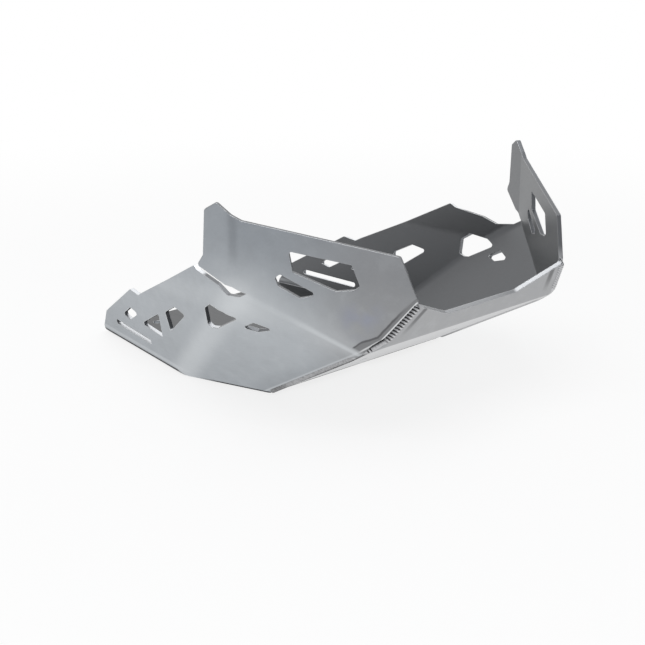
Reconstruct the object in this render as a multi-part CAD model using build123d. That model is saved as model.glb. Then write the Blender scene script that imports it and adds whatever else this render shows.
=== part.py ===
import os
from math import atan2, cos, degrees, radians, sin, tan

from build123d import *

# Sheet and pressed folds, radii on the outer face
sheet = 4.0
fold_radius = 7.0
wing_fold_radius = 8.0
side_fold_radius = 18.0
collar_fold_radius = 40.0
horn_fold_radius = 30.0

# Floor and nose
floor_front = 126.0
floor_rear = 121.0
nose_half_width = 113.0
nose_slope = 29.3
nose_run = 142.6
brow_slope = 57.0
brow_seam = 49.4

# Flank, the sloped lower side
flank_toe = 17.8
flank_slope = 56.0
flank_foot = 96.6

# Tail side and the upright collar above it
tail_taper = 8.2
tail_slope = 79.5
collar_height = 94.5

# Wing, the upright guard above the flank, and the horn at its rear
wing_toe = 37.0
wing_root_along = 26.6
wing_root_up = 145.5
horn_bend = 9.0
horn_start = 8.0

# Outlines, each seen square to its own facet
tail_edge = [(-73, 70.1), (-57, 68), (-50.5, 71.6), (10.6, 101.1), (62, 127)]
tail_rake = [(-220, -82.4), (-142.2, 28.1)]
slit_edge = [(68, 123.7), (101.4, 119.4), (117.6, 114.2), (138, 117.2), (149.5, 123.5)]
slit_reach = 165.0
horn_edge = [(-39.1, 24), (-34.4, 31.5), (-32.3, 70.4), (-21.5, 77), (-9.3, 67.4)]
horn_lap = [(34, -8), (16, -3)]
horn_reach = 60.0
wing_slit_edge = [(-1.1, 2.1), (-9.2, 6.1), (-15.5, 7.6), (-38.3, 21.6)]
wing_edge = [(-0.4, 62.8), (130.6, 38.5), (135.4, 27.3)]
brow_dip = (-45, 21.9)
brow_lip_round = 8.0
edge_round = 2.5

# Windows, each seen square to its own facet
large_window = [(38.5, 39.2), (91, 30), (98, 12), (93.5, 8.8), (78, 7), (42, 21.5)]
small_window = [(31.2, 19.4), (27, 15.8), (30, 9), (48, -0.5), (58, 1.8), (60.5, 4.4)]
square_window = [(-81.5, 48.5), (-66.5, 45.5), (-88, 33), (-102, 36)]
triangle_window = [(-19.8, 59), (-63, 36.5), (-21.5, 34)]
quad_window = [(17, 76.3), (36.5, 73.2), (-1.5, 46), (-4.8, 64.8)]
diamond_window = [(8, 97.8), (23.1, 108), (41.5, 102.6), (23.5, 95.5)]
arrow_window = [(-21.3, 0.5), (-31, -6.5), (-30.5, -21.5), (-24, -23.5), (-17, -22.5)]
arrow_window += [(13.5, -5.5), (-0.5, 0)]
arrow_along = 109.5
slot_start = (-120.5, 21.9)
slot_end = (-52.6, 19.9)
slot_width = 5.0
window_round = 2.0

# Fixing holes for M8 bolts
bolt_hole = 8.6
rear_bolt_inset = 21.0
rear_bolt_spacing = 140.0
nose_bolt_up = 80.0
nose_bolt_spacing = 120.0

# Weld beads along the front corners
bead_radius = 2.6
bead_groove = 0.5
bead_pitch = 3.4
bead_start = 7.0

# Stock that the outlines are cut from, and how far each cutter reaches through it
stock_length = 330.0
stock_width = 260.0
stock_height = 210.0
overrun = 10.0
cut_past = 1.0
trim_top = 400.0
outline_depth = 34.0
window_depth = 20.0


def side_plane(foot, toe, slope):
    outward = Vector(sin(radians(toe)), -cos(radians(toe)), 0)
    normal = outward * sin(radians(slope)) - Vector(0, 0, cos(radians(slope)))
    return Plane(origin=foot, x_dir=(cos(radians(toe)), sin(radians(toe)), 0), z_dir=normal)


def front_plane(point, slope):
    return Plane(origin=point, x_dir=(0, 1, 0), z_dir=(sin(radians(slope)), 0, -cos(radians(slope))))


nose_fold = Vector(floor_front, 0, 0)
brow_fold = nose_fold + Vector(nose_run, 0, nose_run * tan(radians(nose_slope)))
floor_plane = Plane(origin=(0, 0, 0), x_dir=(1, 0, 0), z_dir=(0, 0, -1))
nose_plane = front_plane(nose_fold, nose_slope)
brow_plane = front_plane(brow_fold, brow_slope)
flank_plane = side_plane(nose_fold - Vector(0, nose_half_width, 0), flank_toe, flank_slope)
tail_plane = side_plane(flank_plane.from_local_coords((-flank_foot, 0, 0)), -tail_taper, tail_slope)
collar_rise = collar_height / sin(radians(tail_slope))
collar_plane = side_plane(tail_plane.from_local_coords((0, collar_rise, 0)), -tail_taper, 90)
wing_plane = side_plane(flank_plane.from_local_coords((wing_root_along, wing_root_up, 0)), wing_toe, 90)
hull_planes = [floor_plane, nose_plane, brow_plane, flank_plane, tail_plane, collar_plane, wing_plane]


def corner(first, second, third):
    return first.intersect(second).intersect(third)


# Corners that the welded seam runs through, from the floor upward
foot = corner(floor_plane, flank_plane, nose_plane)
hip = corner(flank_plane, wing_plane, nose_plane)
elbow = corner(wing_plane, nose_plane, brow_plane)
weld_top = elbow + wing_plane.intersect(brow_plane).direction * brow_seam

# Every pressed fold, in an order that lets each rounding run on into the next
folds = [
    (tail_plane, collar_plane, collar_fold_radius),
    (tail_plane, flank_plane, side_fold_radius),
    (floor_plane, flank_plane, fold_radius),
    (floor_plane, nose_plane, fold_radius),
    (nose_plane, brow_plane, fold_radius),
    (flank_plane, wing_plane, wing_fold_radius),
]


def lies_on(edge, plane):
    return all(abs(plane.to_local_coords(edge @ t).Z) < 0.001 for t in (0.2, 0.5, 0.8))


def hull(inset, extra):
    rear = floor_rear + extra
    block = Box(stock_length + rear, stock_width + extra, stock_height + extra, align=Align.MIN)
    block = Pos(-rear, -stock_width, 0) * block
    for plane in hull_planes:
        block = split(block, bisect_by=plane.offset(-inset), keep=Keep.BOTTOM)
    for first, second, radius in folds:
        pair = first.offset(-inset), second.offset(-inset)
        lines = block.edges().filter_by(GeomType.LINE)
        block = fillet([line for line in lines if all(lies_on(line, p) for p in pair)], radius - inset)
    return block


def rounded_face(points, radius, rounded):
    face = make_face(Polyline(*points, close=True))
    near = [v for v in face.vertices() if any((Vector(*v) - Vector(*p)).length < 0.01 for p in rounded)]
    return fillet(near, radius)


def prism(plane, points, depth, radius, rounded):
    return extrude(plane * rounded_face(points, radius, rounded), amount=depth, both=True)


def tail_trim():
    past = [(slit_reach, slit_edge[-1][1]), (slit_reach, trim_top), (tail_rake[0][0], trim_top)]
    edge = tail_rake[1:] + tail_edge + slit_edge
    return prism(tail_plane, edge + past + tail_rake[:1], outline_depth, edge_round, edge)


def wing_trim():
    high_end = wing_plane.to_local_coords(weld_top)
    past = [(stock_length, high_end.Y), (stock_length, trim_top), (wing_edge[0][0], trim_top)]
    return prism(wing_plane, wing_edge + [high_end] + past, sheet + cut_past, edge_round, wing_edge[1:])


def brow_trim():
    low_end = brow_plane.to_local_coords(elbow)
    high_end = brow_plane.to_local_coords(weld_top)
    over = high_end + (high_end - low_end).normalized() * stock_height
    points = [high_end, brow_dip, (cut_past, brow_dip[1]), (cut_past, over.Y), over]
    return prism(brow_plane, points, sheet + cut_past, brow_lip_round, [brow_dip])


def horn():
    plan = Plane(origin=wing_plane.origin, x_dir=wing_plane.x_dir, z_dir=(0, 0, 1))
    lean = radians(horn_bend)
    back = Vector(-cos(lean), sin(lean)) * horn_reach
    inner = Vector(sin(lean), cos(lean)) * sheet
    front = horn_lap[0][0]
    bend = Vector(-horn_start, 0)
    inner_bend = bend + Vector(sheet * tan(lean / 2), sheet)
    ring = [(front, 0), bend, bend + back, bend + back + inner, inner_bend, (front, sheet)]
    strip = rounded_face(ring, horn_fold_radius, [bend])
    wall = extrude(plan * strip, amount=stock_height, both=True)
    points = horn_edge + wing_edge[:1] + [(front, wing_edge[0][1])] + horn_lap + wing_slit_edge
    return wall & prism(wing_plane, points, outline_depth, edge_round, horn_edge[:4])


def long_slot():
    start, end = Vector(*slot_start), Vector(*slot_end)
    along = end - start
    shape = SlotCenterToCenter(along.length, slot_width, rotation=degrees(atan2(along.Y, along.X)))
    middle = (start + end) / 2
    return extrude(tail_plane * Pos(middle.X, middle.Y) * shape, amount=window_depth, both=True)


def window_cuts():
    facing = tail_plane.z_dir + flank_plane.z_dir
    arrow_point = tail_plane.from_local_coords((arrow_along, collar_rise, 0))
    arrow_plane = Plane(origin=arrow_point, x_dir=Vector(0, 0, 1).cross(facing), z_dir=facing)
    placed = [
        (tail_plane, square_window),
        (tail_plane, triangle_window),
        (tail_plane, quad_window),
        (wing_plane, large_window),
        (wing_plane, small_window),
        (flank_plane, diamond_window),
        (arrow_plane, arrow_window),
    ]
    return [prism(plane, points, window_depth, window_round, points) for plane, points in placed]


def bolt_cuts():
    drill = Cylinder(bolt_hole / 2, 2 * (sheet + cut_past))
    rear = Pos(rear_bolt_inset - floor_rear, -rear_bolt_spacing / 2, 0) * drill
    nose = nose_plane * Pos(-nose_bolt_spacing / 2, nose_bolt_up, 0) * drill
    return [rear, nose]


def right_half():
    half = hull(0, 0) - hull(sheet, overrun)
    half = half - tail_trim() - brow_trim()
    half = half + horn() - wing_trim()
    for cut in window_cuts() + [long_slot()] + bolt_cuts():
        half -= cut
    return half


def smooth_bead(start, end):
    low = (Align.CENTER, Align.CENTER, Align.MIN)
    rod = Plane(origin=start, z_dir=end - start) * Cylinder(bead_radius, (end - start).length, align=low)
    return rod + Pos(*end) * Sphere(bead_radius)


def rippled_bead(start, end):
    along = end - start
    count = round(along.length / bead_pitch)
    step = along.length / count
    profile = [(0, 0)]
    for i in range(count):
        profile += [(i * step, bead_radius - bead_groove), ((i + 1) * step, bead_radius)]
    profile.append((along.length, 0))
    line = Plane(origin=start, x_dir=along, z_dir=along.cross(Vector(0, 0, 1)))
    return revolve(line * make_face(Polyline(*profile, close=True)), axis=Axis(start, along))


def right_bead():
    start = foot + (hip - foot).normalized() * bead_start
    return smooth_bead(start, hip) + smooth_bead(hip, elbow) + rippled_bead(elbow, weld_top)


half = right_half()
plate = half + mirror(half, about=Plane.XZ)
bead = right_bead() - half
nodes = {
    "skid_plate": plate,
    "right_weld_bead": bead,
    "left_weld_bead": mirror(bead, about=Plane.XZ),
}
os.makedirs("parts", exist_ok=True)
for name, shape in nodes.items():
    export_step(shape, f"parts/{name}.step")
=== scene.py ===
import math

import bpy
import numpy as np
from mathutils import Matrix, Vector


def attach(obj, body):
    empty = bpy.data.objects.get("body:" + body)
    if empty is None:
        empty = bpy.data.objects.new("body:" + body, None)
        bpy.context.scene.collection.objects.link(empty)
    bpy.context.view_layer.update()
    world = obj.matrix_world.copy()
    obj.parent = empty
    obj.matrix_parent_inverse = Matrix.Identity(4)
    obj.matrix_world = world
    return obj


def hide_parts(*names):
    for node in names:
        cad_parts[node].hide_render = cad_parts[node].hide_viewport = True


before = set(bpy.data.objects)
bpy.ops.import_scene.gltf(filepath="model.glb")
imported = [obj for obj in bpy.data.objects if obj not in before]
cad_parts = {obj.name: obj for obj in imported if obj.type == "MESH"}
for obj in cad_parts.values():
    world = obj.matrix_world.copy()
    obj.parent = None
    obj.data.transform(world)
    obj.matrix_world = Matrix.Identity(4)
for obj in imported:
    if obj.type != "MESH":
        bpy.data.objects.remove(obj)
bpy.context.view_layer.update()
print("frame loaded:", ", ".join(sorted(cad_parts)))

# corners of the right side in metres; the left side is the same with y turned over
corners = {
    "foot": (0.126, -0.113, 0.0),
    "hip": (0.255107, -0.122874, 0.072452),
    "weldHip": (0.252085, -0.125152, 0.075058),
    "weldElbow": (0.269968, -0.111676, 0.083444),
    "weldMid": (0.263117, -0.116839, 0.078723),
    "elbow": (0.268600, -0.112707, 0.080023),
    "weldJoin": (0.273578, -0.108956, 0.087689),
    "weldTop": (0.293490, -0.093951, 0.118351),
    "heel": (0.034024, -0.142530, 0.0),
    "wingRoot": (0.176199, -0.182336, 0.120625),
    "foldTop": (0.168480, -0.184340, 0.120000),
    "collarFoot": (0.031526, -0.159865, 0.0945),
    "collarMeet": (0.161000, -0.178500, 0.110100),
    "hornBend": (0.169810, -0.187151, 0.120625),
    "haze": (0.255203, -0.122802, 0.106203),
}
outward = {  # outer normals of the right side's panels
    "flank": (0.253433, -0.789351, -0.559193),
    "wing": (0.601815, -0.798636, 0.0),
    "horn": (0.469473, -0.882949, 0.0),
    "nose": (0.489382, 0.0, -0.872069),
    "brow": (0.838671, 0.0, -0.544639),
    "floor": (0.0, 0.0, -1.0),
    "tail": (-0.140241, -0.973202, -0.182236),
    "collar": (-0.142629, -0.989776, 0.0),
}
anchors = {  # a corner that lies in each panel's outer plane
    "floor": "foot",
    "nose": "foot",
    "brow": "elbow",
    "flank": "foot",
    "tail": "heel",
    "collar": "collarFoot",
    "wing": "wingRoot",
    "horn": "hornBend",
}


def feed(tree, socket, value):  # a link from another socket, or a plain value
    if isinstance(value, bpy.types.NodeSocket):
        tree.links.new(value, socket)
    else:
        socket.default_value = value


def calc(tree, operation, *terms, clamp=False):
    node = tree.nodes.new("ShaderNodeMath")
    node.operation = operation
    node.use_clamp = clamp
    for socket, term in zip(node.inputs, terms):
        feed(tree, socket, term)
    return node.outputs[0]


def times(tree, *terms):
    result = terms[0]
    for term in terms[1:]:
        result = calc(tree, "MULTIPLY", result, term)
    return result


def most(tree, first, second):
    return calc(tree, "MAXIMUM", first, second)


def rest(tree, value):  # 1 - value
    return calc(tree, "SUBTRACT", 1.0, value)


def offBy(tree, value, middle):  # |value - middle|
    return calc(tree, "ABSOLUTE", calc(tree, "SUBTRACT", value, middle))


def scaled(tree, value, gain, offset):  # gain value + offset
    return calc(tree, "MULTIPLY_ADD", value, gain, offset)


def vectorCalc(tree, operation, first, second):
    node = tree.nodes.new("ShaderNodeVectorMath")
    node.operation = operation
    feed(tree, node.inputs[0], first)
    feed(tree, node.inputs["Scale"] if operation == "SCALE" else node.inputs[1], second)
    return node.outputs["Value" if operation in ("DOT_PRODUCT", "DISTANCE") else "Vector"]


def splitVector(tree, vector):
    node = tree.nodes.new("ShaderNodeSeparateXYZ")
    feed(tree, node.inputs[0], vector)
    return node.outputs


def fade(tree, value, start, end):  # 0 at start, 1 at end, smooth between them
    node = tree.nodes.new("ShaderNodeMapRange")
    node.interpolation_type = "SMOOTHSTEP"
    feed(tree, node.inputs["Value"], value)
    feed(tree, node.inputs["From Min"], start)
    feed(tree, node.inputs["From Max"], end)
    return node.outputs["Result"]


def ramp(tree, value, source, target):  # the source span carried straight to the target span
    node = tree.nodes.new("ShaderNodeMapRange")
    feed(tree, node.inputs["Value"], value)
    for label, number in zip(("From Min", "From Max", "To Min", "To Max"), (*source, *target)):
        node.inputs[label].default_value = number
    return node.outputs["Result"]


def tint(tree, factor, first, second, mode="MIX"):
    node = tree.nodes.new("ShaderNodeMix")
    node.data_type = "RGBA"
    node.blend_type = mode
    feed(tree, node.inputs[0], factor)
    feed(tree, node.inputs[6], first)
    feed(tree, node.inputs[7], second)
    return node.outputs[2]


def choose(tree, factor, first, second):  # first where factor is 0, second where it is 1
    node = tree.nodes.new("ShaderNodeMix")
    feed(tree, node.inputs[0], factor)
    feed(tree, node.inputs[2], first)
    feed(tree, node.inputs[3], second)
    return node.outputs[0]


def cloud(tree, position, scale, detail=2.0, roughness=0.5):
    node = tree.nodes.new("ShaderNodeTexNoise")
    node.inputs["Detail"].default_value = detail
    node.inputs["Roughness"].default_value = roughness
    feed(tree, node.inputs["Vector"], position)
    feed(tree, node.inputs["Scale"], scale)
    return node.outputs["Fac"]


def startGroup(name, inputs, outputs):  # a shader group with named sockets
    group = bpy.data.node_groups.new(name, "ShaderNodeTree")
    for label, kind, value in inputs:
        socket = group.interface.new_socket(label, in_out="INPUT", socket_type="NodeSocket" + kind)
        socket.default_value = value
    for label, kind in outputs:
        group.interface.new_socket(label, in_out="OUTPUT", socket_type="NodeSocket" + kind)
    return group, group.nodes.new("NodeGroupInput"), group.nodes.new("NodeGroupOutput")


def place(tree, group, **values):  # a group in a material, with its own values
    node = tree.nodes.new("ShaderNodeGroup")
    node.node_tree = group
    for label, value in values.items():
        feed(tree, node.inputs[label], value)
    return node


sharedFinish = {  # a pair gives the values at which a mask is 0 and 1
    "bevelSamples": 6,
    "edgeTurn": (0.97, 0.75),
    "pitScale": 2200.0,
    "strokeScale": (22.0, 700.0, 700.0),
    "strokeRoughness": 0.6,
    "sheet": 0.004,
    "innerDepth": (0.0022, 0.0012),
    "innerTurn": (-0.75, -0.85),
    "cutOuter": (0.0039, 0.0035),
    "cutInner": (-0.0006, 0.0),
    "cutTurn": (0.5, 0.3),
    "panelOff": (0.0016, 0.0008),
}


def makeSeamGroup():  # distance from a straight seam: |p - (start + t span)| with t held in 0..1
    group, given, result = startGroup(
        "seamDistance",
        [("Position", "Vector", (0, 0, 0)), ("Start", "Vector", (0, 0, 0)), ("Span", "Vector", (1, 0, 0))],
        [("Distance", "Float")],
    )
    rel = vectorCalc(group, "SUBTRACT", given.outputs["Position"], given.outputs["Start"])
    span = given.outputs["Span"]
    reached = vectorCalc(group, "DOT_PRODUCT", rel, span)
    share = calc(group, "DIVIDE", reached, vectorCalc(group, "DOT_PRODUCT", span, span), clamp=True)
    near = vectorCalc(group, "SCALE", span, share)
    feed(group, result.inputs["Distance"], vectorCalc(group, "DISTANCE", rel, near))
    return group


def makeEdgeGroup(spec):  # where the surface turns within Width: the dot of its normal and the rounded one
    group, given, result = startGroup(
        "edgeShine", [("Width", "Float", 0.001)], [("Mask", "Float"), ("Normal", "Vector")])
    bevel = group.nodes.new("ShaderNodeBevel")
    bevel.samples = spec["bevelSamples"]
    feed(group, bevel.inputs["Radius"], given.outputs["Width"])
    shape = group.nodes.new("ShaderNodeNewGeometry")
    turn = vectorCalc(group, "DOT_PRODUCT", bevel.outputs["Normal"], shape.outputs["Normal"])
    feed(group, result.inputs["Mask"], fade(group, turn, *spec["edgeTurn"]))
    feed(group, result.inputs["Normal"], bevel.outputs["Normal"])
    return group


def makeGrainGroup(spec):  # satin grain: fine round pits plus long thin strokes along X
    group, given, result = startGroup(
        "satinGrain", [("Position", "Vector", (0, 0, 0)), ("Scale", "Float", 1.0)],
        [("Height", "Float"), ("Stroke", "Float")])
    spot = vectorCalc(group, "SCALE", given.outputs["Position"], given.outputs["Scale"])
    pits = cloud(group, spot, spec["pitScale"])
    drawn = vectorCalc(group, "MULTIPLY", spot, spec["strokeScale"])
    strokes = cloud(group, drawn, 1.0, 3.0, spec["strokeRoughness"])
    mixed = calc(group, "ADD", times(group, pits, 0.5), times(group, strokes, 0.5))
    feed(group, result.inputs["Height"], mixed)
    feed(group, result.inputs["Stroke"], strokes)
    return group


def makeInnerGroup(spec):  # one panel's inner face, a sheet behind its plane, and the cut faces between
    group, given, result = startGroup(
        "innerFace",
        [("Position", "Vector", (0, 0, 0)), ("Normal", "Vector", (0, 0, 1)), ("Point", "Vector", (0, 0, 0)),
         ("Outward", "Vector", (0, 0, 1)), ("Sheet", "Float", spec["sheet"])],
        [("Mask", "Float"), ("Cut", "Float")],
    )
    rel = vectorCalc(group, "SUBTRACT", given.outputs["Position"], given.outputs["Point"])
    height = vectorCalc(group, "DOT_PRODUCT", rel, given.outputs["Outward"])
    depth = calc(group, "ADD", height, given.outputs["Sheet"])  # 0 on the inner face, a sheet on the outer
    near = fade(group, calc(group, "ABSOLUTE", depth), *spec["innerDepth"])
    turn = vectorCalc(group, "DOT_PRODUCT", given.outputs["Normal"], given.outputs["Outward"])
    feed(group, result.inputs["Mask"], times(group, near, fade(group, turn, *spec["innerTurn"])))
    within = times(group, fade(group, depth, *spec["cutOuter"]), fade(group, depth, *spec["cutInner"]))
    square = fade(group, calc(group, "ABSOLUTE", turn), *spec["cutTurn"])
    feed(group, result.inputs["Cut"], times(group, within, square))
    return group


seamDistance = makeSeamGroup()
edgeShine = makeEdgeGroup(sharedFinish)
satinGrain = makeGrainGroup(sharedFinish)
innerFace = makeInnerGroup(sharedFinish)
print("shared finishes:", seamDistance.name, edgeShine.name, satinGrain.name, innerFace.name)


def startMaterial(name):
    material = bpy.data.materials.new(name)
    material.use_nodes = True
    tree = material.node_tree
    shader = tree.nodes["Principled BSDF"]
    shader.inputs["Metallic"].default_value = 1.0
    position = tree.nodes.new("ShaderNodeTexCoord").outputs["Object"]
    return material, tree, shader, position


def addBump(tree, shader, spec, height, normal=None):
    bump = tree.nodes.new("ShaderNodeBump")
    bump.inputs["Strength"].default_value = spec["bumpStrength"]
    bump.inputs["Distance"].default_value = spec["bumpDistance"]
    feed(tree, bump.inputs["Height"], height)
    if normal is not None:
        feed(tree, bump.inputs["Normal"], normal)
    tree.links.new(bump.outputs["Normal"], shader.inputs["Normal"])


def rightSide(tree, vector, position=None):  # y turned over on the left side, so both sides share one pattern
    parts = splitVector(tree, vector)
    if position is None:
        across = times(tree, calc(tree, "ABSOLUTE", parts["Y"]), -1.0)
    else:
        side = calc(tree, "SIGN", splitVector(tree, position)["Y"])
        across = times(tree, parts["Y"], times(tree, side, -1.0))
    joined = tree.nodes.new("ShaderNodeCombineXYZ")
    feed(tree, joined.inputs["X"], parts["X"])
    feed(tree, joined.inputs["Y"], across)
    feed(tree, joined.inputs["Z"], parts["Z"])
    return joined.outputs["Vector"]


def seamNode(tree, position, start, end):
    a, b = Vector(corners[start]), Vector(corners[end])
    return place(tree, seamDistance, Position=position, Start=a, Span=b - a).outputs["Distance"]


def onPanel(tree, position, panel):  # 1 on the outer face of a panel, 0 a millimetre and a half off it
    rel = vectorCalc(tree, "SUBTRACT", position, corners[anchors[panel]])
    away = calc(tree, "ABSOLUTE", vectorCalc(tree, "DOT_PRODUCT", rel, outward[panel]))
    return fade(tree, away, *sharedFinish["panelOff"])


# pairs below give where a mask starts and where it is full: X and Height in metres along the axes, others in
# metres from a seam or point; Facing is the normal's upward part and Cloud the noise's own value
shadeReach = {
    "lowHeight": (0.075, 0.0),
    "footSeam": (0.024, 0.003),
    "footShare": 0.8,
    "wingHeight": (0.095, 0.180),
    "hornX": (0.172, 0.160),
    "hornLight": -0.35,
    "frontX": (0.19, 0.25),
    "frontHeight": (0.170, 0.135),
    "frontOffFold": (0.004, 0.026),
    "frontScale": 14.0,
    "frontCloud": (0.2, 0.6),
    "frontShare": 0.9,
    "pressAlong": (0.7986, 0.6018, 0.0),
    "pressAt": -0.008,
    "pressWidth": (0.006, 0.001),
    "pressHeight": (0.140, 0.158),
}


def addShading(tree, spec, reach, position, axes, colour, wingArea):
    # painted shade: darker low down, beside the foot's seam, toward the wing's top and in patches at its
    # front, with one painted shaded crease up the wing
    low = fade(tree, axes["Z"], *reach["lowHeight"])
    colour = tint(tree, low, colour, spec["lowShade"], "MULTIPLY")
    beside = fade(tree, seamNode(tree, position, "foot", "hip"), *reach["footSeam"])
    colour = tint(tree, times(tree, beside, reach["footShare"]), colour, spec["lowShade"], "MULTIPLY")
    hornLight = scaled(tree, fade(tree, axes["X"], *reach["hornX"]), reach["hornLight"], 1.0)
    high = times(tree, fade(tree, axes["Z"], *reach["wingHeight"]), wingArea, hornLight)
    colour = tint(tree, high, colour, spec["wingShade"], "MULTIPLY")
    patchy = fade(tree, cloud(tree, position, reach["frontScale"]), *reach["frontCloud"])
    offFold = fade(tree, seamNode(tree, position, "wingRoot", "hip"), *reach["frontOffFold"])
    front = times(tree, fade(tree, axes["X"], *reach["frontX"]), patchy, wingArea)
    front = times(tree, front, fade(tree, axes["Z"], *reach["frontHeight"]), offFold, reach["frontShare"])
    colour = tint(tree, front, colour, spec["lowShade"], "MULTIPLY")
    # painted shade along a shallow crease up the wing
    rel = vectorCalc(tree, "SUBTRACT", position, corners["wingRoot"])
    along = vectorCalc(tree, "DOT_PRODUCT", rel, reach["pressAlong"])
    press = fade(tree, offBy(tree, along, reach["pressAt"]), *reach["pressWidth"])
    press = times(tree, press, wingArea, fade(tree, axes["Z"], *reach["pressHeight"]))
    return tint(tree, press, colour, spec["pressShade"], "MULTIPLY")


foldHighlightReach = {  # side to collar: how far each fold's painted highlight reaches, and how strong it is
    "side": (0.021, 0.55),
    "wing": (0.032, 0.2),
    "meet": (0.033, 0.55),
    "meetWide": (0.064, 0.33),
    "collar": (0.016, 0.28),
    "core": 0.1,  # share of the reach that shines in full
    "narrowX": (0.19, 0.25),  # the wing's shine narrows to half over this stretch
    "lineWidth": 0.0075,
    "lineX": (0.200, 0.228),
    "lineGain": 0.4,
    "lineRear": 0.2,
}


def paintFoldHighlights(tree, spec, reach, position, axes, colour):  # painted highlights along the pressed folds
    side = seamNode(tree, position, "heel", "foldTop")
    narrow = calc(tree, "ADD", fade(tree, axes["X"], *reach["narrowX"]), 1.0)
    wing = times(tree, seamNode(tree, position, "wingRoot", "hip"), narrow)
    line = scaled(tree, fade(tree, axes["X"], *reach["lineX"]), reach["lineGain"], reach["lineRear"])
    meet = vectorCalc(tree, "DISTANCE", position, corners["collarMeet"])
    collar = seamNode(tree, position, "collarFoot", "collarMeet")
    foldHighlights = (
        (side, *reach["side"]),
        (wing, reach["lineWidth"], line),
        (wing, *reach["wing"]),
        (meet, *reach["meet"]),
        (meet, *reach["meetWide"]),
        (collar, *reach["collar"]),
    )
    # a painted highlight along each fold
    for distance, width, strength in foldHighlights:
        mask = times(tree, fade(tree, distance, width, width * reach["core"]), strength)
        colour = tint(tree, mask, colour, spec["brightSpotAndHighlightTone"])
    return colour


weldMarks = {
    "hazeReach": (0.026, 0.004),
    "hazeScale": 60.0,
    "hazeCloud": (0.3, 0.7),
    "wander": 0.0014,  # how far the band's edge strays
    "wanderScale": 160.0,
    "bandReach": 0.0076,
    "bandSoft": 0.001,
    "bandTaper": 0.0036,  # how much narrower the band is where it meets the fold
    "taperX": (0.2565, 0.2465),
    "offFold": (0.0026, 0.0048),
    "offFoldX": (0.252, 0.258),
    "lineWidth": (0.0014, 0.0003),
    "lineHeight": (0.124, 0.104),
    "lineShare": 0.85,
    "lipAt": 0.0038,
    "lipWidth": (0.0009, 0.0002),
    "lipX": (0.264, 0.270),
    "lipShare": 0.8,
    "bentAt": 0.0037,
    "bentWidth": (0.0011, 0.0003),
    "bentStart": (0.252, 0.257),
    "bentEnd": (0.270, 0.264),
    "bentShare": 0.75,
    "rimAt": 0.0042,
    "rimWidth": (0.0016, 0.0004),
    "rimShare": 0.45,
    "browRise": (0.0885, 0.1126),
    "browAt": (0.01383, 0.01244),  # the band on the brow is nearer the weld toward the top
    "browWidth": (0.0044, 0.0014),
    "browHeight": (0.084, 0.108),
    "browShare": 0.8,
}


def addWeldBand(tree, spec, reach, position, axes, colour, onWing, seam):
    # heat haze, the cleaned band along the weld and the band's dark edge
    near = vectorCalc(tree, "DISTANCE", position, corners["haze"])
    patchy = fade(tree, cloud(tree, position, reach["hazeScale"]), *reach["hazeCloud"])
    haze = times(tree, fade(tree, near, *reach["hazeReach"]), patchy, onWing)
    colour = tint(tree, haze, colour, spec["heatTone"])
    stray = scaled(tree, cloud(tree, position, reach["wanderScale"]), reach["wander"], -reach["wander"] / 2)
    taper = times(tree, fade(tree, axes["X"], *reach["taperX"]), reach["bandTaper"])
    away = calc(tree, "ADD", calc(tree, "ADD", seam, stray), taper)
    fold = fade(tree, seamNode(tree, position, "wingRoot", "hip"), *reach["offFold"])
    onBand = times(tree, onWing, most(tree, fold, fade(tree, axes["X"], *reach["offFoldX"])))
    band = times(tree, fade(tree, away, reach["bandReach"], reach["bandReach"] - reach["bandSoft"]), onBand)
    colour = tint(tree, band, colour, spec["bandTone"])
    line = fade(tree, offBy(tree, away, reach["bandReach"]), *reach["lineWidth"])
    line = times(tree, line, onBand, fade(tree, axes["Z"], *reach["lineHeight"]), reach["lineShare"])
    return tint(tree, line, colour, spec["lineTone"])


def addWeldMarks(tree, spec, reach, position, axes, colour):  # what the torch left on wing, flank and brow, with a painted highlight along the wing's edge by the weld and a lighter line beside the weld on the flank
    onWing = onPanel(tree, position, "wing")
    upper = seamNode(tree, position, "weldElbow", "weldTop")
    seam = calc(tree, "MINIMUM", seamNode(tree, position, "weldHip", "weldElbow"), upper)
    colour = addWeldBand(tree, spec, reach, position, axes, colour, onWing, seam)
    # painted highlight along the wing's edge beside the weld
    lipHighlight = times(tree, fade(tree, offBy(tree, upper, reach["lipAt"]), *reach["lipWidth"]), onWing)
    lipHighlight = times(tree, lipHighlight, fade(tree, axes["X"], *reach["lipX"]))
    joining = seamNode(tree, position, "weldMid", "weldJoin")
    bent = calc(tree, "MINIMUM", seamNode(tree, position, "hip", "weldMid"), joining)
    bentLipHighlight = times(tree, fade(tree, offBy(tree, bent, reach["bentAt"]), *reach["bentWidth"]), onWing)
    bentLipHighlight = times(tree, bentLipHighlight, fade(tree, axes["X"], *reach["bentStart"]))
    bentLipHighlight = times(tree, bentLipHighlight, fade(tree, axes["X"], *reach["bentEnd"]), reach["bentShare"])
    colour = tint(tree, times(tree, most(tree, lipHighlight, bentLipHighlight), reach["lipShare"]), colour, spec["edgeHighlightTone"])
    # a lighter line beside the weld on the flank
    rim = fade(tree, offBy(tree, seamNode(tree, position, "foot", "hip"), reach["rimAt"]), *reach["rimWidth"])
    rim = times(tree, rim, onPanel(tree, position, "flank"), reach["rimShare"])
    colour = tint(tree, rim, colour, spec["brightSpotAndHighlightTone"])
    browAt = ramp(tree, axes["Z"], reach["browRise"], reach["browAt"])
    line = fade(tree, offBy(tree, upper, browAt), *reach["browWidth"])
    line = times(tree, line, onPanel(tree, position, "brow"), fade(tree, axes["Z"], *reach["browHeight"]))
    return tint(tree, times(tree, line, reach["browShare"]), colour, spec["lineTone"])


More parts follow.
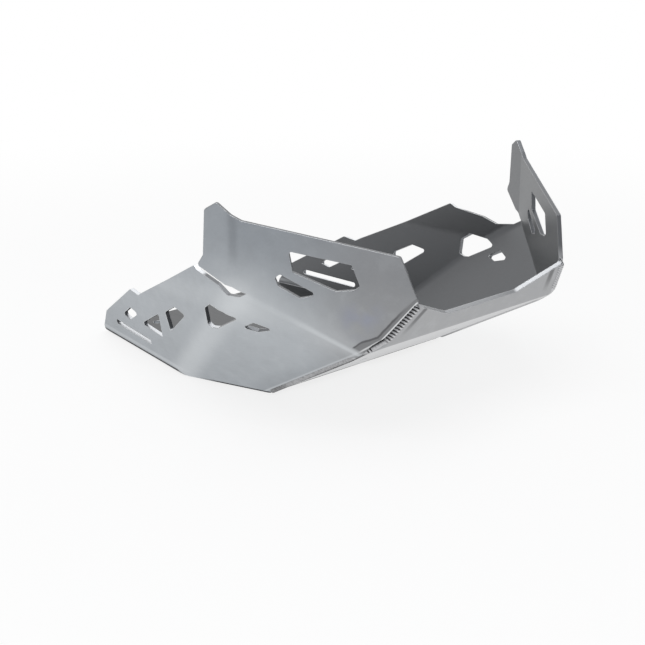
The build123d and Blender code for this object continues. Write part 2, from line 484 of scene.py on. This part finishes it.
hiddenReach = {
    "shadedCutPanels": ("tail", "flank", "collar"),
    "shadedCutX": (0.102, 0.108),
    "shadedCutHeight": (0.102, 0.098),
    "shadedCutShare": 0.9,
    "wingPanels": ("wing", "horn"),
    "weldX": (0.262, 0.256),
    "weldHeight": (0.122, 0.135),
    "brightFacing": (0.2, 0.5),
    "brightX": (0.14, 0.10),
    "brightGain": 0.7,
    "brightFront": 0.3,
    "upFacing": (0.84, 0.92),
    "slitHeight": (0.102, 0.106),
    "slitX": (0.105, 0.112),
}


def addHiddenFaces(tree, spec, reach, position, normal, axes, facing, colour):
    # painted shade on the inside and on cut faces, and a painted highlight on cut faces that look up
    inside, shadedCut, wingCut = 0.0, 0.0, 0.0
    low = fade(tree, axes["Z"], *reach["shadedCutHeight"])
    lowOrFront = most(tree, fade(tree, axes["X"], *reach["shadedCutX"]), low)
    offWeld = most(tree, fade(tree, axes["X"], *reach["weldX"]), fade(tree, axes["Z"], *reach["weldHeight"]))
    for panel, corner in anchors.items():
        face = place(tree, innerFace, Position=position, Normal=normal, Point=corners[corner],
                     Outward=outward[panel]).outputs
        inside = most(tree, inside, face["Mask"])
        if panel in reach["shadedCutPanels"]:
            shadedCut = most(tree, shadedCut, times(tree, face["Cut"], lowOrFront))
        if panel in reach["wingPanels"]:
            wingCut = most(tree, wingCut, times(tree, face["Cut"], offWeld))
        if panel == "floor":
            floorInside = face["Mask"]
    rear = fade(tree, axes["X"], *reach["brightX"])
    rearward = scaled(tree, rear, reach["brightGain"], reach["brightFront"])
    bright = times(tree, fade(tree, facing["Z"], *reach["brightFacing"]), rearward)
    slit = times(tree, fade(tree, axes["Z"], *reach["slitHeight"]), fade(tree, axes["X"], *reach["slitX"]))
    straightUp = times(tree, fade(tree, facing["Z"], *reach["upFacing"]), rest(tree, slit))
    cutHighlight = choose(tree, shadedCut, bright, straightUp)  # a shaded cut face gets the painted highlight only where it looks straight up
    cutHighlight = times(tree, cutHighlight, rest(tree, most(tree, inside, wingCut)))
    # painted shade on cut faces and the inside, and a painted highlight on cut faces that look up
    colour = tint(tree, times(tree, most(tree, shadedCut, wingCut), reach["shadedCutShare"]), colour, spec["cutShadeTone"])
    colour = tint(tree, cutHighlight, colour, spec["cutHighlightTone"])
    colour = tint(tree, inside, colour, spec["innerShadeTone"])
    return tint(tree, floorInside, colour, spec["innerFloorShadeTone"])


footReach = {
    "footHighlightAt": 0.0080,
    "footHighlightWidth": (0.003, 0.0005),
    "footHighlightX": (0.06, 0.02),
    "footHighlightShare": 0.4,
    "tailX": (0.044, 0.026),
    "tailLift": 0.0026,  # the painted shade at the foot stands higher along the tail
    "sideHeight": (0.0038, 0.0022),
    "sideFacing": (-0.2, -0.4),
    "flankX": (0.050, 0.080),
    "noseHeight": (0.0068, 0.0036),
    "noseFacing": (-0.8, -0.86),
    "noseInner": (0.0, -0.018),
    "noseOuter": (-0.100, -0.066),
    "leanFacing": (-0.99, -0.95),
}


def addFoot(tree, spec, reach, axes, facing, colour):  # a painted highlight just above the foot, painted shade where it turns under
    # painted highlight just above the foot
    footHighlight = times(tree, fade(tree, offBy(tree, axes["Z"], reach["footHighlightAt"]), *reach["footHighlightWidth"]),
                fade(tree, axes["X"], *reach["footHighlightX"]), reach["footHighlightShare"])
    colour = tint(tree, footHighlight, colour, spec["brightSpotAndHighlightTone"])
    tail = fade(tree, axes["X"], *reach["tailX"])
    lift = calc(tree, "SUBTRACT", axes["Z"], times(tree, tail, reach["tailLift"]))
    side = times(tree, fade(tree, lift, *reach["sideHeight"]), fade(tree, facing["Z"], *reach["sideFacing"]))
    side = times(tree, side, most(tree, tail, fade(tree, axes["X"], *reach["flankX"])))
    nose = fade(tree, axes["Z"], *reach["noseHeight"])
    nose = times(tree, nose, fade(tree, facing["Z"], *reach["noseFacing"]))
    nose = times(tree, nose, fade(tree, axes["Y"], *reach["noseInner"]))
    nose = times(tree, nose, fade(tree, axes["Y"], *reach["noseOuter"]))
    lean = fade(tree, facing["Z"], *reach["leanFacing"])
    # painted shade where the foot turns under, on the sides and the nose
    colour = tint(tree, times(tree, side, lean), colour, spec["footShadeTone"])
    colour = tint(tree, times(tree, nose, lean), colour, spec["noseFootShadeTone"])
    return colour, times(tree, most(tree, side, nose), lean)


sheetFinish = {
    # rearTone and frontTone: the front panels are painted darker than the rear ones, painted shade
    "rearTone": (0.452, 0.480, 0.508, 1.0),
    "frontTone": (0.392, 0.397, 0.407, 1.0),
    # painted light: the nose is given a lighter copy of the sheet's colour
    "noseLightTone": (0.56, 0.565, 0.575, 1.0),
    # painted shade inside and on cut faces, painted highlight on cut faces that look up
    "innerShadeTone": (0.200, 0.205, 0.212, 1.0),
    "innerFloorShadeTone": (0.115, 0.118, 0.122, 1.0),
    "cutHighlightTone": (0.84, 0.86, 0.89, 1.0),
    "cutShadeTone": (0.17, 0.175, 0.185, 1.0),
    # lowShade, wingShade and pressShade are painted shade
    "lowShade": (0.84, 0.845, 0.85, 1.0),
    "wingShade": (0.74, 0.75, 0.77, 1.0),
    "pressShade": (0.86, 0.86, 0.86, 1.0),
    # brighter random spots of the sheet, and painted highlights on folds, above the foot and beside the weld
    "brightSpotAndHighlightTone": (0.62, 0.645, 0.665, 1.0),
    "shadeTone": (0.30, 0.31, 0.32, 1.0),
    # painted highlight on edges
    "edgeHighlightTone": (0.86, 0.87, 0.88, 1.0),
    "heatTone": (0.32, 0.335, 0.39, 1.0),
    "bandTone": (0.235, 0.238, 0.245, 1.0),
    "lineTone": (0.10, 0.10, 0.105, 1.0),
    # painted shade at the foot
    "footShadeTone": (0.125, 0.125, 0.13, 1.0),
    "noseFootShadeTone": (0.045, 0.045, 0.048, 1.0),
    "frontX": (0.19, 0.27),
    "broadScale": 9.0,
    "broadCloud": (0.35, 0.65),
    "cloudShare": 0.12,
    "mottleScale": 75.0,
    "mottleRoughness": 0.55,
    "mottleEnds": (0.28, 0.72),
    "mottleShare": 0.12,
    "strokeShare": 0.11,
    "noseFacing": (0.97, 0.99),
    "wingFacing": (0.93, 0.97),
    "edgeWidth": 0.0011,
    "edgeShare": 0.85,
    "edgeX": (0.16, 0.20),
    "edgeDrop": -0.4,  # forward of edgeX the edges shine less
    "footShadeMetalDrop": -0.9,  # the painted shade at the foot is hardly metal, so that it stays dark
    "roughness": 0.40,
    "roughSpread": 0.14,
    "edgePolish": 0.10,
    "bumpStrength": 0.05,
    "bumpDistance": 0.0004,
}


def buildSheetFinish(spec):
    material, tree, shader, position = startMaterial("satinSheet")
    mirrored = rightSide(tree, position)
    normal = rightSide(tree, tree.nodes.new("ShaderNodeNewGeometry").outputs["Normal"], position)
    axes, facing = splitVector(tree, mirrored), splitVector(tree, normal)
    # painted shade: the front is given a darker colour than the rear
    colour = tint(tree, fade(tree, axes["X"], *spec["frontX"]), spec["rearTone"], spec["frontTone"])
    broad = fade(tree, cloud(tree, position, spec["broadScale"], 3.0), *spec["broadCloud"])
    colour = tint(tree, times(tree, broad, spec["cloudShare"]), colour, spec["shadeTone"])
    mottle = cloud(tree, position, spec["mottleScale"], 3.0, spec["mottleRoughness"])
    tones = ("shadeTone", "brightSpotAndHighlightTone")
    for end, tone in zip(spec["mottleEnds"], tones):  # duller and brighter spots, evenly shared
        spots = times(tree, fade(tree, mottle, 0.5, end), spec["mottleShare"])
        colour = tint(tree, spots, colour, spec[tone])
    grain = place(tree, satinGrain, Position=position, Scale=1.0).outputs
    colour = tint(tree, times(tree, grain["Stroke"], spec["strokeShare"]), colour, spec["shadeTone"])
    # painted light on the faces that look the nose's way
    noseArea = fade(tree, vectorCalc(tree, "DOT_PRODUCT", normal, outward["nose"]), *spec["noseFacing"])
    colour = tint(tree, noseArea, colour, spec["noseLightTone"])
    wingArea = fade(tree, vectorCalc(tree, "DOT_PRODUCT", normal, outward["wing"]), *spec["wingFacing"])
    colour = addShading(tree, spec, shadeReach, mirrored, axes, colour, wingArea)
    colour = paintFoldHighlights(tree, spec, foldHighlightReach, mirrored, axes, colour)
    colour = addWeldMarks(tree, spec, weldMarks, mirrored, axes, colour)
    colour = addHiddenFaces(tree, spec, hiddenReach, mirrored, normal, axes, facing, colour)
    colour, foot = addFoot(tree, spec, footReach, axes, facing, colour)
    # painted highlight along the edges, weaker forward of edgeX
    edge = place(tree, edgeShine, Width=spec["edgeWidth"]).outputs
    share = scaled(tree, fade(tree, axes["X"], *spec["edgeX"]), spec["edgeDrop"], spec["edgeShare"])
    colour = tint(tree, times(tree, edge["Mask"], share), colour, spec["edgeHighlightTone"])
    tree.links.new(colour, shader.inputs["Base Color"])
    shader.inputs["Specular IOR Level"].default_value = 0.0
    tree.links.new(scaled(tree, foot, spec["footShadeMetalDrop"], 1.0), shader.inputs["Metallic"])
    rough = scaled(tree, grain["Stroke"], spec["roughSpread"], spec["roughness"] - spec["roughSpread"] / 2)
    rough = calc(tree, "SUBTRACT", rough, times(tree, edge["Mask"], spec["edgePolish"]))
    tree.links.new(rough, shader.inputs["Roughness"])
    addBump(tree, shader, spec, grain["Height"], edge["Normal"])
    return material


weldFinish = {
    # painted highlight on the bead's crests, painted shade in its grooves
    "crestHighlight": (0.61, 0.615, 0.63, 1.0),
    "grooveShade": (0.025, 0.025, 0.027, 1.0),
    "toneSpan": (0.1, 0.9),
    "grimeScale": 420.0,
    "grimeSpread": 0.4,
    "grainScale": 0.8,
    "roughness": 0.34,
    "roughSpread": 0.3,
    "bumpStrength": 0.10,
    "bumpDistance": 0.0004,
}


def buildWeldFinish(spec):
    material, tree, shader, position = startMaterial("rippledWeld")
    ripple = tree.nodes.new("ShaderNodeAttribute")
    ripple.attribute_name = "ripple"
    grime = cloud(tree, position, spec["grimeScale"], 3.0)
    spots = scaled(tree, grime, spec["grimeSpread"], -spec["grimeSpread"] / 2)
    level = calc(tree, "ADD", ripple.outputs["Fac"], spots, clamp=True)
    # painted highlight on the ripples' crests, painted shade in their grooves, on the toe and along the ridge
    colour = tint(tree, fade(tree, level, *spec["toneSpan"]), spec["grooveShade"], spec["crestHighlight"])
    tree.links.new(colour, shader.inputs["Base Color"])
    rough = scaled(tree, grime, spec["roughSpread"], spec["roughness"] - spec["roughSpread"] / 2)
    tree.links.new(rough, shader.inputs["Roughness"])
    grain = place(tree, satinGrain, Position=position, Scale=spec["grainScale"]).outputs
    addBump(tree, shader, spec, grain["Height"])
    return material


sheetMaterial = buildSheetFinish(sheetFinish)
weldMaterial = buildWeldFinish(weldFinish)
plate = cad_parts["skid_plate"]
plate.data.materials.clear()
plate.data.materials.append(sheetMaterial)
print("sheet finish on", plate.name)

weldBead = {
    "startGap": 0.007,
    "leaveSeam": 0.93,
    "joinSeam": 0.2,
    "step": 0.0004,
    "around": 32,
    "halfWidth": (0.0030, 0.0032),  # plain part, rippled part
    "cap": (0.0013, 0.0014),  # how far the crown stands over the corner
    "root": 0.0012,
    "pitch": 0.00304,
    "rippleDepth": 0.26,
    "plainDepth": 0.05,
    "widthShare": 0.4,  # how much of the depth the width and the crown take
    "crownShare": 2.0,
    "bow": 0.55,
    "lean": 0.6,  # below 1 each ripple rises faster than it falls
    "fullness": 0.8,
    "cornerRound": 0.004,
    "endRound": 0.002,
    "rippleRunIn": 0.003,
    "strayFrom": 0.0215,  # a few ripples lie before the elbow too
    "strayTo": 0.0155,
    "strayRunIn": 0.001,
}
beadPaintedLight = {  # painted light on the bead, from 0, painted shade in a groove, to 1, painted highlight on a crest; lengths in metres
    "toeFrom": 0.55,  # painted shade on the toe on the wing's side past this share of the half width
    "toeGain": 1.2,
    "flankPast": 0.004,
    "flankRunOut": 0.006,
    "flankLevel": 0.55,
    "flankTilt": 0.03,
    "ridgeAt": 0.06,
    "ridgeWidth": 0.2,
    "ridgeFrom": 0.03,
    "ridgeRise": 0.06,
    "ridgeLeast": 0.2,
    "flankRidge": 0.34,
    "startDark": 0.14,
    "startEnd": 0.036,
    "startRunOut": 0.02,
    "ridgePast": 0.018,
    "bendLevel": 0.68,
    "bendRidge": 0.42,
    "ribLow": 0.10,
    "ribGain": 0.75,
    "ribTilt": 0.15,
}


def unit(rows):
    return rows / np.linalg.norm(rows, axis=-1, keepdims=True)


def runIn(distance, length):  # 0 before, rising straight to 1 over the length; one row for each sample
    return np.clip(distance / length, 0, 1).reshape(-1, 1)


def beadPath(spec):  # arc-length samples of the seam line, its corners softened by a running mean
    stops = ("foot", "hip", "weldMid", "elbow", "weldTop")
    foot, hip, mid, elbow, top = (np.array(corners[k]) for k in stops)
    start = foot + (hip - foot) / np.linalg.norm(hip - foot) * spec["startGap"]
    leave, join = foot + (hip - foot) * spec["leaveSeam"], elbow + (top - elbow) * spec["joinSeam"]
    knots = np.array([start, leave, mid, join, top])
    reach = np.concatenate([[0], np.cumsum(np.linalg.norm(np.diff(knots, axis=0), axis=1))])
    s = np.arange(0, reach[-1], spec["step"])
    line = np.stack([np.interp(s, reach, knots[:, k]) for k in range(3)], axis=1)
    normals = {k: np.array(v) for k, v in outward.items()}
    pairs = (("flank", "nose"), ("wing", "nose"), ("wing", "brow"))
    lowFace, midFace, highFace = (normals[a] + normals[b] for a, b in pairs)
    run = np.searchsorted(reach[1:-1], s)
    up = unit(np.array([lowFace, midFace, midFace + highFace, highFace]))[run]
    first = np.array([normals[k] for k in ("flank", "wing", "wing", "wing")])[run]
    width = 2 * int(spec["cornerRound"] / spec["step"]) + 1
    kernel = np.ones(width) / width

    def soften(rows):
        padded = np.pad(rows, ((width // 2, width // 2), (0, 0)), mode="reflect", reflect_type="odd")
        return np.stack([np.convolve(padded[:, k], kernel, "valid") for k in range(3)], axis=1)

    return s, reach, soften(line), soften(up), soften(first)


def paintedBeadLight(tone, s, reach, phase, rippled, stray, wingward):
    # painted highlights on the ribs and painted shade between them where the bead is rippled; elsewhere an
    # even level with painted shade along a ridge line, on the toe on the wing's side and at the start
    toe = tone["toeGain"] * np.clip(wingward - tone["toeFrom"], 0, 1)
    ridge = np.exp(-((wingward - tone["ridgeAt"]) / tone["ridgeWidth"]) ** 2)
    ridge = ridge * np.clip((s - tone["ridgeFrom"]) / tone["ridgeRise"], tone["ridgeLeast"], 1)[:, None]
    dark = tone["startDark"] * runIn(tone["startEnd"] - s, tone["startRunOut"])
    onFlank = tone["flankLevel"] - tone["flankTilt"] * wingward - tone["flankRidge"] * ridge - dark
    ridgeEnd = runIn(reach[1] + tone["ridgePast"] - s, tone["flankRunOut"])
    onBend = tone["bendLevel"] - toe - tone["bendRidge"] * ridge * ridgeEnd
    flank = runIn(reach[1] + tone["flankPast"] - s, tone["flankRunOut"])
    plain = flank * onFlank + (1 - flank) * onBend
    rib = 0.5 - 0.5 * np.cos(2 * np.pi * phase)
    ribbed = tone["ribLow"] + tone["ribGain"] * rib - tone["ribTilt"] * wingward - stray * toe
    return np.clip(rippled * ribbed + (1 - rippled) * plain, 0, 1)


def beadShape(spec, tone):
    # x(s, a) = line(s) + w sin a  across(s) + (c cos a - w drop(s) |sin a|) up(s): the two panels fall away
    # from the corner by drop each side, and c is the crown's height or the buried root's depth; w and c swell
    # once in each pitch, at a phase shifted by bow cos a, so that the ripples lie like laid coins
    s, reach, line, up, first = beadPath(spec)
    along = unit(np.gradient(line, axis=0))
    across = unit(np.cross(along, up))
    up = np.cross(across, along)
    tilt = np.clip(np.sum(first * up, axis=1) / np.linalg.norm(first, axis=1), 0.5, 1)[:, None]
    drop = np.sqrt(1 - tilt ** 2) / tilt
    angle = np.linspace(0, 2 * np.pi, spec["around"], endpoint=False)[None, :]
    before = reach[3] - s
    main = runIn(spec["rippleRunIn"] - before, spec["rippleRunIn"])
    stray = runIn(spec["strayFrom"] - before, spec["strayRunIn"])
    stray = stray * runIn(before - spec["strayTo"], spec["strayRunIn"])
    rippled = np.maximum(main, stray)
    phase = -before[:, None] / spec["pitch"] - spec["bow"] * np.cos(angle)
    ripple = np.sin(np.pi * (phase - np.floor(phase)) ** spec["lean"]) ** spec["fullness"]
    depth = spec["plainDepth"] + (spec["rippleDepth"] - spec["plainDepth"]) * rippled
    ends = runIn(np.minimum(s, s[-1] - s), spec["endRound"])
    closing = np.sqrt(1 - (1 - ends) ** 2)
    half, cap = (low + (high - low) * main for low, high in (spec["halfWidth"], spec["cap"]))
    wide = half * (1 - spec["widthShare"] * depth * (1 - ripple)) * closing
    crown = cap * (1 - spec["crownShare"] * depth * (1 - ripple))
    tall = np.where(np.cos(angle) > 0, crown, spec["root"]) * closing
    grid = line[:, None, :] + (wide * np.sin(angle))[:, :, None] * across[:, None, :]
    grid += (tall * np.cos(angle) - wide * drop * np.abs(np.sin(angle)))[:, :, None] * up[:, None, :]
    wingward = np.sin(angle) * np.sign(across @ -np.array(outward["brow"]))[:, None]
    return grid, paintedBeadLight(tone, s, reach, phase, rippled, stray, wingward)


def makeBead(name, spec, tone, side):  # rings of the bead with one pole at each end
    grid, level = beadShape(spec, tone)
    rings, columns = grid.shape[0] - 2, grid.shape[1]
    points = np.concatenate([grid[0, :1], grid[1:-1].reshape(-1, 3), grid[-1, :1]])
    shown = np.concatenate([level[0, :1], level[1:-1].ravel(), level[-1, :1]]).astype(np.float32)
    points[:, 1] *= side
    i, j = np.meshgrid(np.arange(rings - 1), np.arange(columns), indexing="ij")
    k = (j + 1) % columns
    ring, following = 1 + i * columns, 1 + (i + 1) * columns
    quads = np.stack([ring + j, ring + k, following + k, following + j], axis=-1)
    turn, after = np.arange(columns), (np.arange(columns) + 1) % columns
    last = 1 + (rings - 1) * columns
    first = np.stack([np.zeros(columns, int), 1 + after, 1 + turn], axis=1)
    close = np.stack([np.full(columns, len(points) - 1), last + turn, last + after], axis=1)
    faces = quads.reshape(-1, 4).tolist() + first.tolist() + close.tolist()
    if side < 0:
        faces = [face[::-1] for face in faces]
    mesh = bpy.data.meshes.new(name)
    mesh.from_pydata(points, [], faces)
    mesh.attributes.new("ripple", "FLOAT", "POINT").data.foreach_set("value", shown)
    mesh.polygons.foreach_set("use_smooth", np.ones(len(faces), dtype=bool))
    mesh.materials.append(weldMaterial)
    bead = bpy.data.objects.new(name, mesh)
    bpy.context.scene.collection.objects.link(bead)
    return bead


for name, node, side in (("rightWeld", "right_weld_bead", 1), ("leftWeld", "left_weld_bead", -1)):
    bead = makeBead(name, weldBead, beadPaintedLight, side)
    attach(bead, "root")
    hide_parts(node)
    print("bead laid:", name, len(bead.data.polygons), "faces")

studio = {
    "floorTone": (0.86, 0.86, 0.86, 1.0),
    "floorSize": 9.0,
    "floorRoughness": 0.9,
    "floorSpecular": 0.1,
    "floorGlow": 0.82,  # near the object; white farther out
    "glowReach": (0.35, 1.2),
    "middle": (0.09, 0.0, 0.0),
    "frontTone": (0.42, 0.425, 0.435, 1.0),
    "backTone": (1.0, 1.0, 1.0, 1.0),
    "backdrop": (-0.73, 0.68, 0.0),
    "backdropTurn": (0.2, 0.7),
    "aim": (0.1, 0.0, 0.08),
    "overhead": {"at": (0.1, -0.3, 1.7), "size": 1.6, "watts": 16.0},
    "front": {"at": (1.5, -1.3, 1.1), "size": 0.9, "watts": 4.0},
}


def mixShaders(tree, factor, first, second, output):
    mixed = tree.nodes.new("ShaderNodeMixShader")
    tree.links.new(factor, mixed.inputs[0])
    tree.links.new(first.outputs[0], mixed.inputs[1])
    tree.links.new(second.outputs[0], mixed.inputs[2])
    tree.links.new(mixed.outputs[0], tree.nodes[output].inputs["Surface"])


def buildFloor(spec):  # a flat pale ground; metal sees it as an even white, while it keeps the shadow
    half = spec["floorSize"] / 2
    mesh = bpy.data.meshes.new("ground")
    square = [(-half, -half, 0), (half, -half, 0), (half, half, 0), (-half, half, 0)]
    mesh.from_pydata(square, [], [(0, 1, 2, 3)])
    material = bpy.data.materials.new("paleGround")
    material.use_nodes = True
    tree = material.node_tree
    shader = tree.nodes["Principled BSDF"]
    shader.inputs["Base Color"].default_value = spec["floorTone"]
    shader.inputs["Roughness"].default_value = spec["floorRoughness"]
    shader.inputs["Specular IOR Level"].default_value = spec["floorSpecular"]
    glow = tree.nodes.new("ShaderNodeEmission")
    path = tree.nodes.new("ShaderNodeLightPath").outputs
    spot = tree.nodes.new("ShaderNodeTexCoord").outputs["Object"]
    far = fade(tree, vectorCalc(tree, "DISTANCE", spot, spec["middle"]), *spec["glowReach"])
    glowShare = scaled(tree, far, 1.0 - spec["floorGlow"], spec["floorGlow"])
    seen = times(tree, path["Is Camera Ray"], glowShare)
    mixShaders(tree, most(tree, path["Is Glossy Ray"], seen), shader, glow, "Material Output")
    mesh.materials.append(material)
    ground = bpy.data.objects.new("ground", mesh)
    bpy.context.scene.collection.objects.link(ground)


def buildWorld(spec):  # a white backdrop behind the object and a duller room in front of it
    world = bpy.data.worlds.new("studioWorld")
    world.use_nodes = True
    bpy.context.scene.world = world
    tree = world.node_tree
    back = tree.nodes["Background"]
    direction = tree.nodes.new("ShaderNodeTexCoord").outputs["Generated"]
    behind = fade(tree, vectorCalc(tree, "DOT_PRODUCT", direction, spec["backdrop"]), *spec["backdropTurn"])
    feed(tree, back.inputs["Color"], tint(tree, behind, spec["frontTone"], spec["backTone"]))
    seen = tree.nodes.new("ShaderNodeBackground")
    seen.inputs["Color"].default_value = spec["backTone"]
    path = tree.nodes.new("ShaderNodeLightPath").outputs
    mixShaders(tree, path["Is Camera Ray"], back, seen, "World Output")


def hangLamp(name, lamp, target):  # a square soft box turned to the middle of the object
    light = bpy.data.lights.new(name, "AREA")
    light.size = lamp["size"]
    light.energy = lamp["watts"]
    holder = bpy.data.objects.new(name, light)
    holder.location = lamp["at"]
    aim = Vector(target) - Vector(lamp["at"])
    holder.rotation_euler = aim.to_track_quat("-Z", "Y").to_euler()
    bpy.context.scene.collection.objects.link(holder)


buildFloor(studio)
buildWorld(studio)
hangLamp("overheadLamp", studio["overhead"], studio["aim"])
hangLamp("frontLamp", studio["front"], studio["aim"])
print("studio lit")

shot = {
    "azimuth": 47.0,
    "elevation": 18.5,
    "at": (1.030135, -0.888571, 0.466690),
    "focalPixels": 1400.0,
    "image": 645,
    "sensor": 36.0,  # millimetres
    "clip": (0.01, 60.0),
}


def setCamera(spec):
    lens = bpy.data.cameras.new("shot")
    lens.sensor_width = spec["sensor"]
    lens.lens = spec["sensor"] * spec["focalPixels"] / spec["image"]
    lens.clip_start, lens.clip_end = spec["clip"]
    camera = bpy.data.objects.new("shot", lens)
    a, e = math.radians(spec["azimuth"]), math.radians(spec["elevation"])
    back = Vector((math.sin(a) * math.cos(e), -math.cos(a) * math.cos(e), math.sin(e)))
    right = Vector((math.cos(a), math.sin(a), 0.0))
    turn = Matrix((right, back.cross(right), back)).transposed()
    camera.matrix_world = Matrix.Translation(spec["at"]) @ turn.to_4x4()
    bpy.context.scene.collection.objects.link(camera)
    bpy.context.scene.camera = camera


setCamera(shot)
bpy.context.scene.view_settings.view_transform = "Standard"
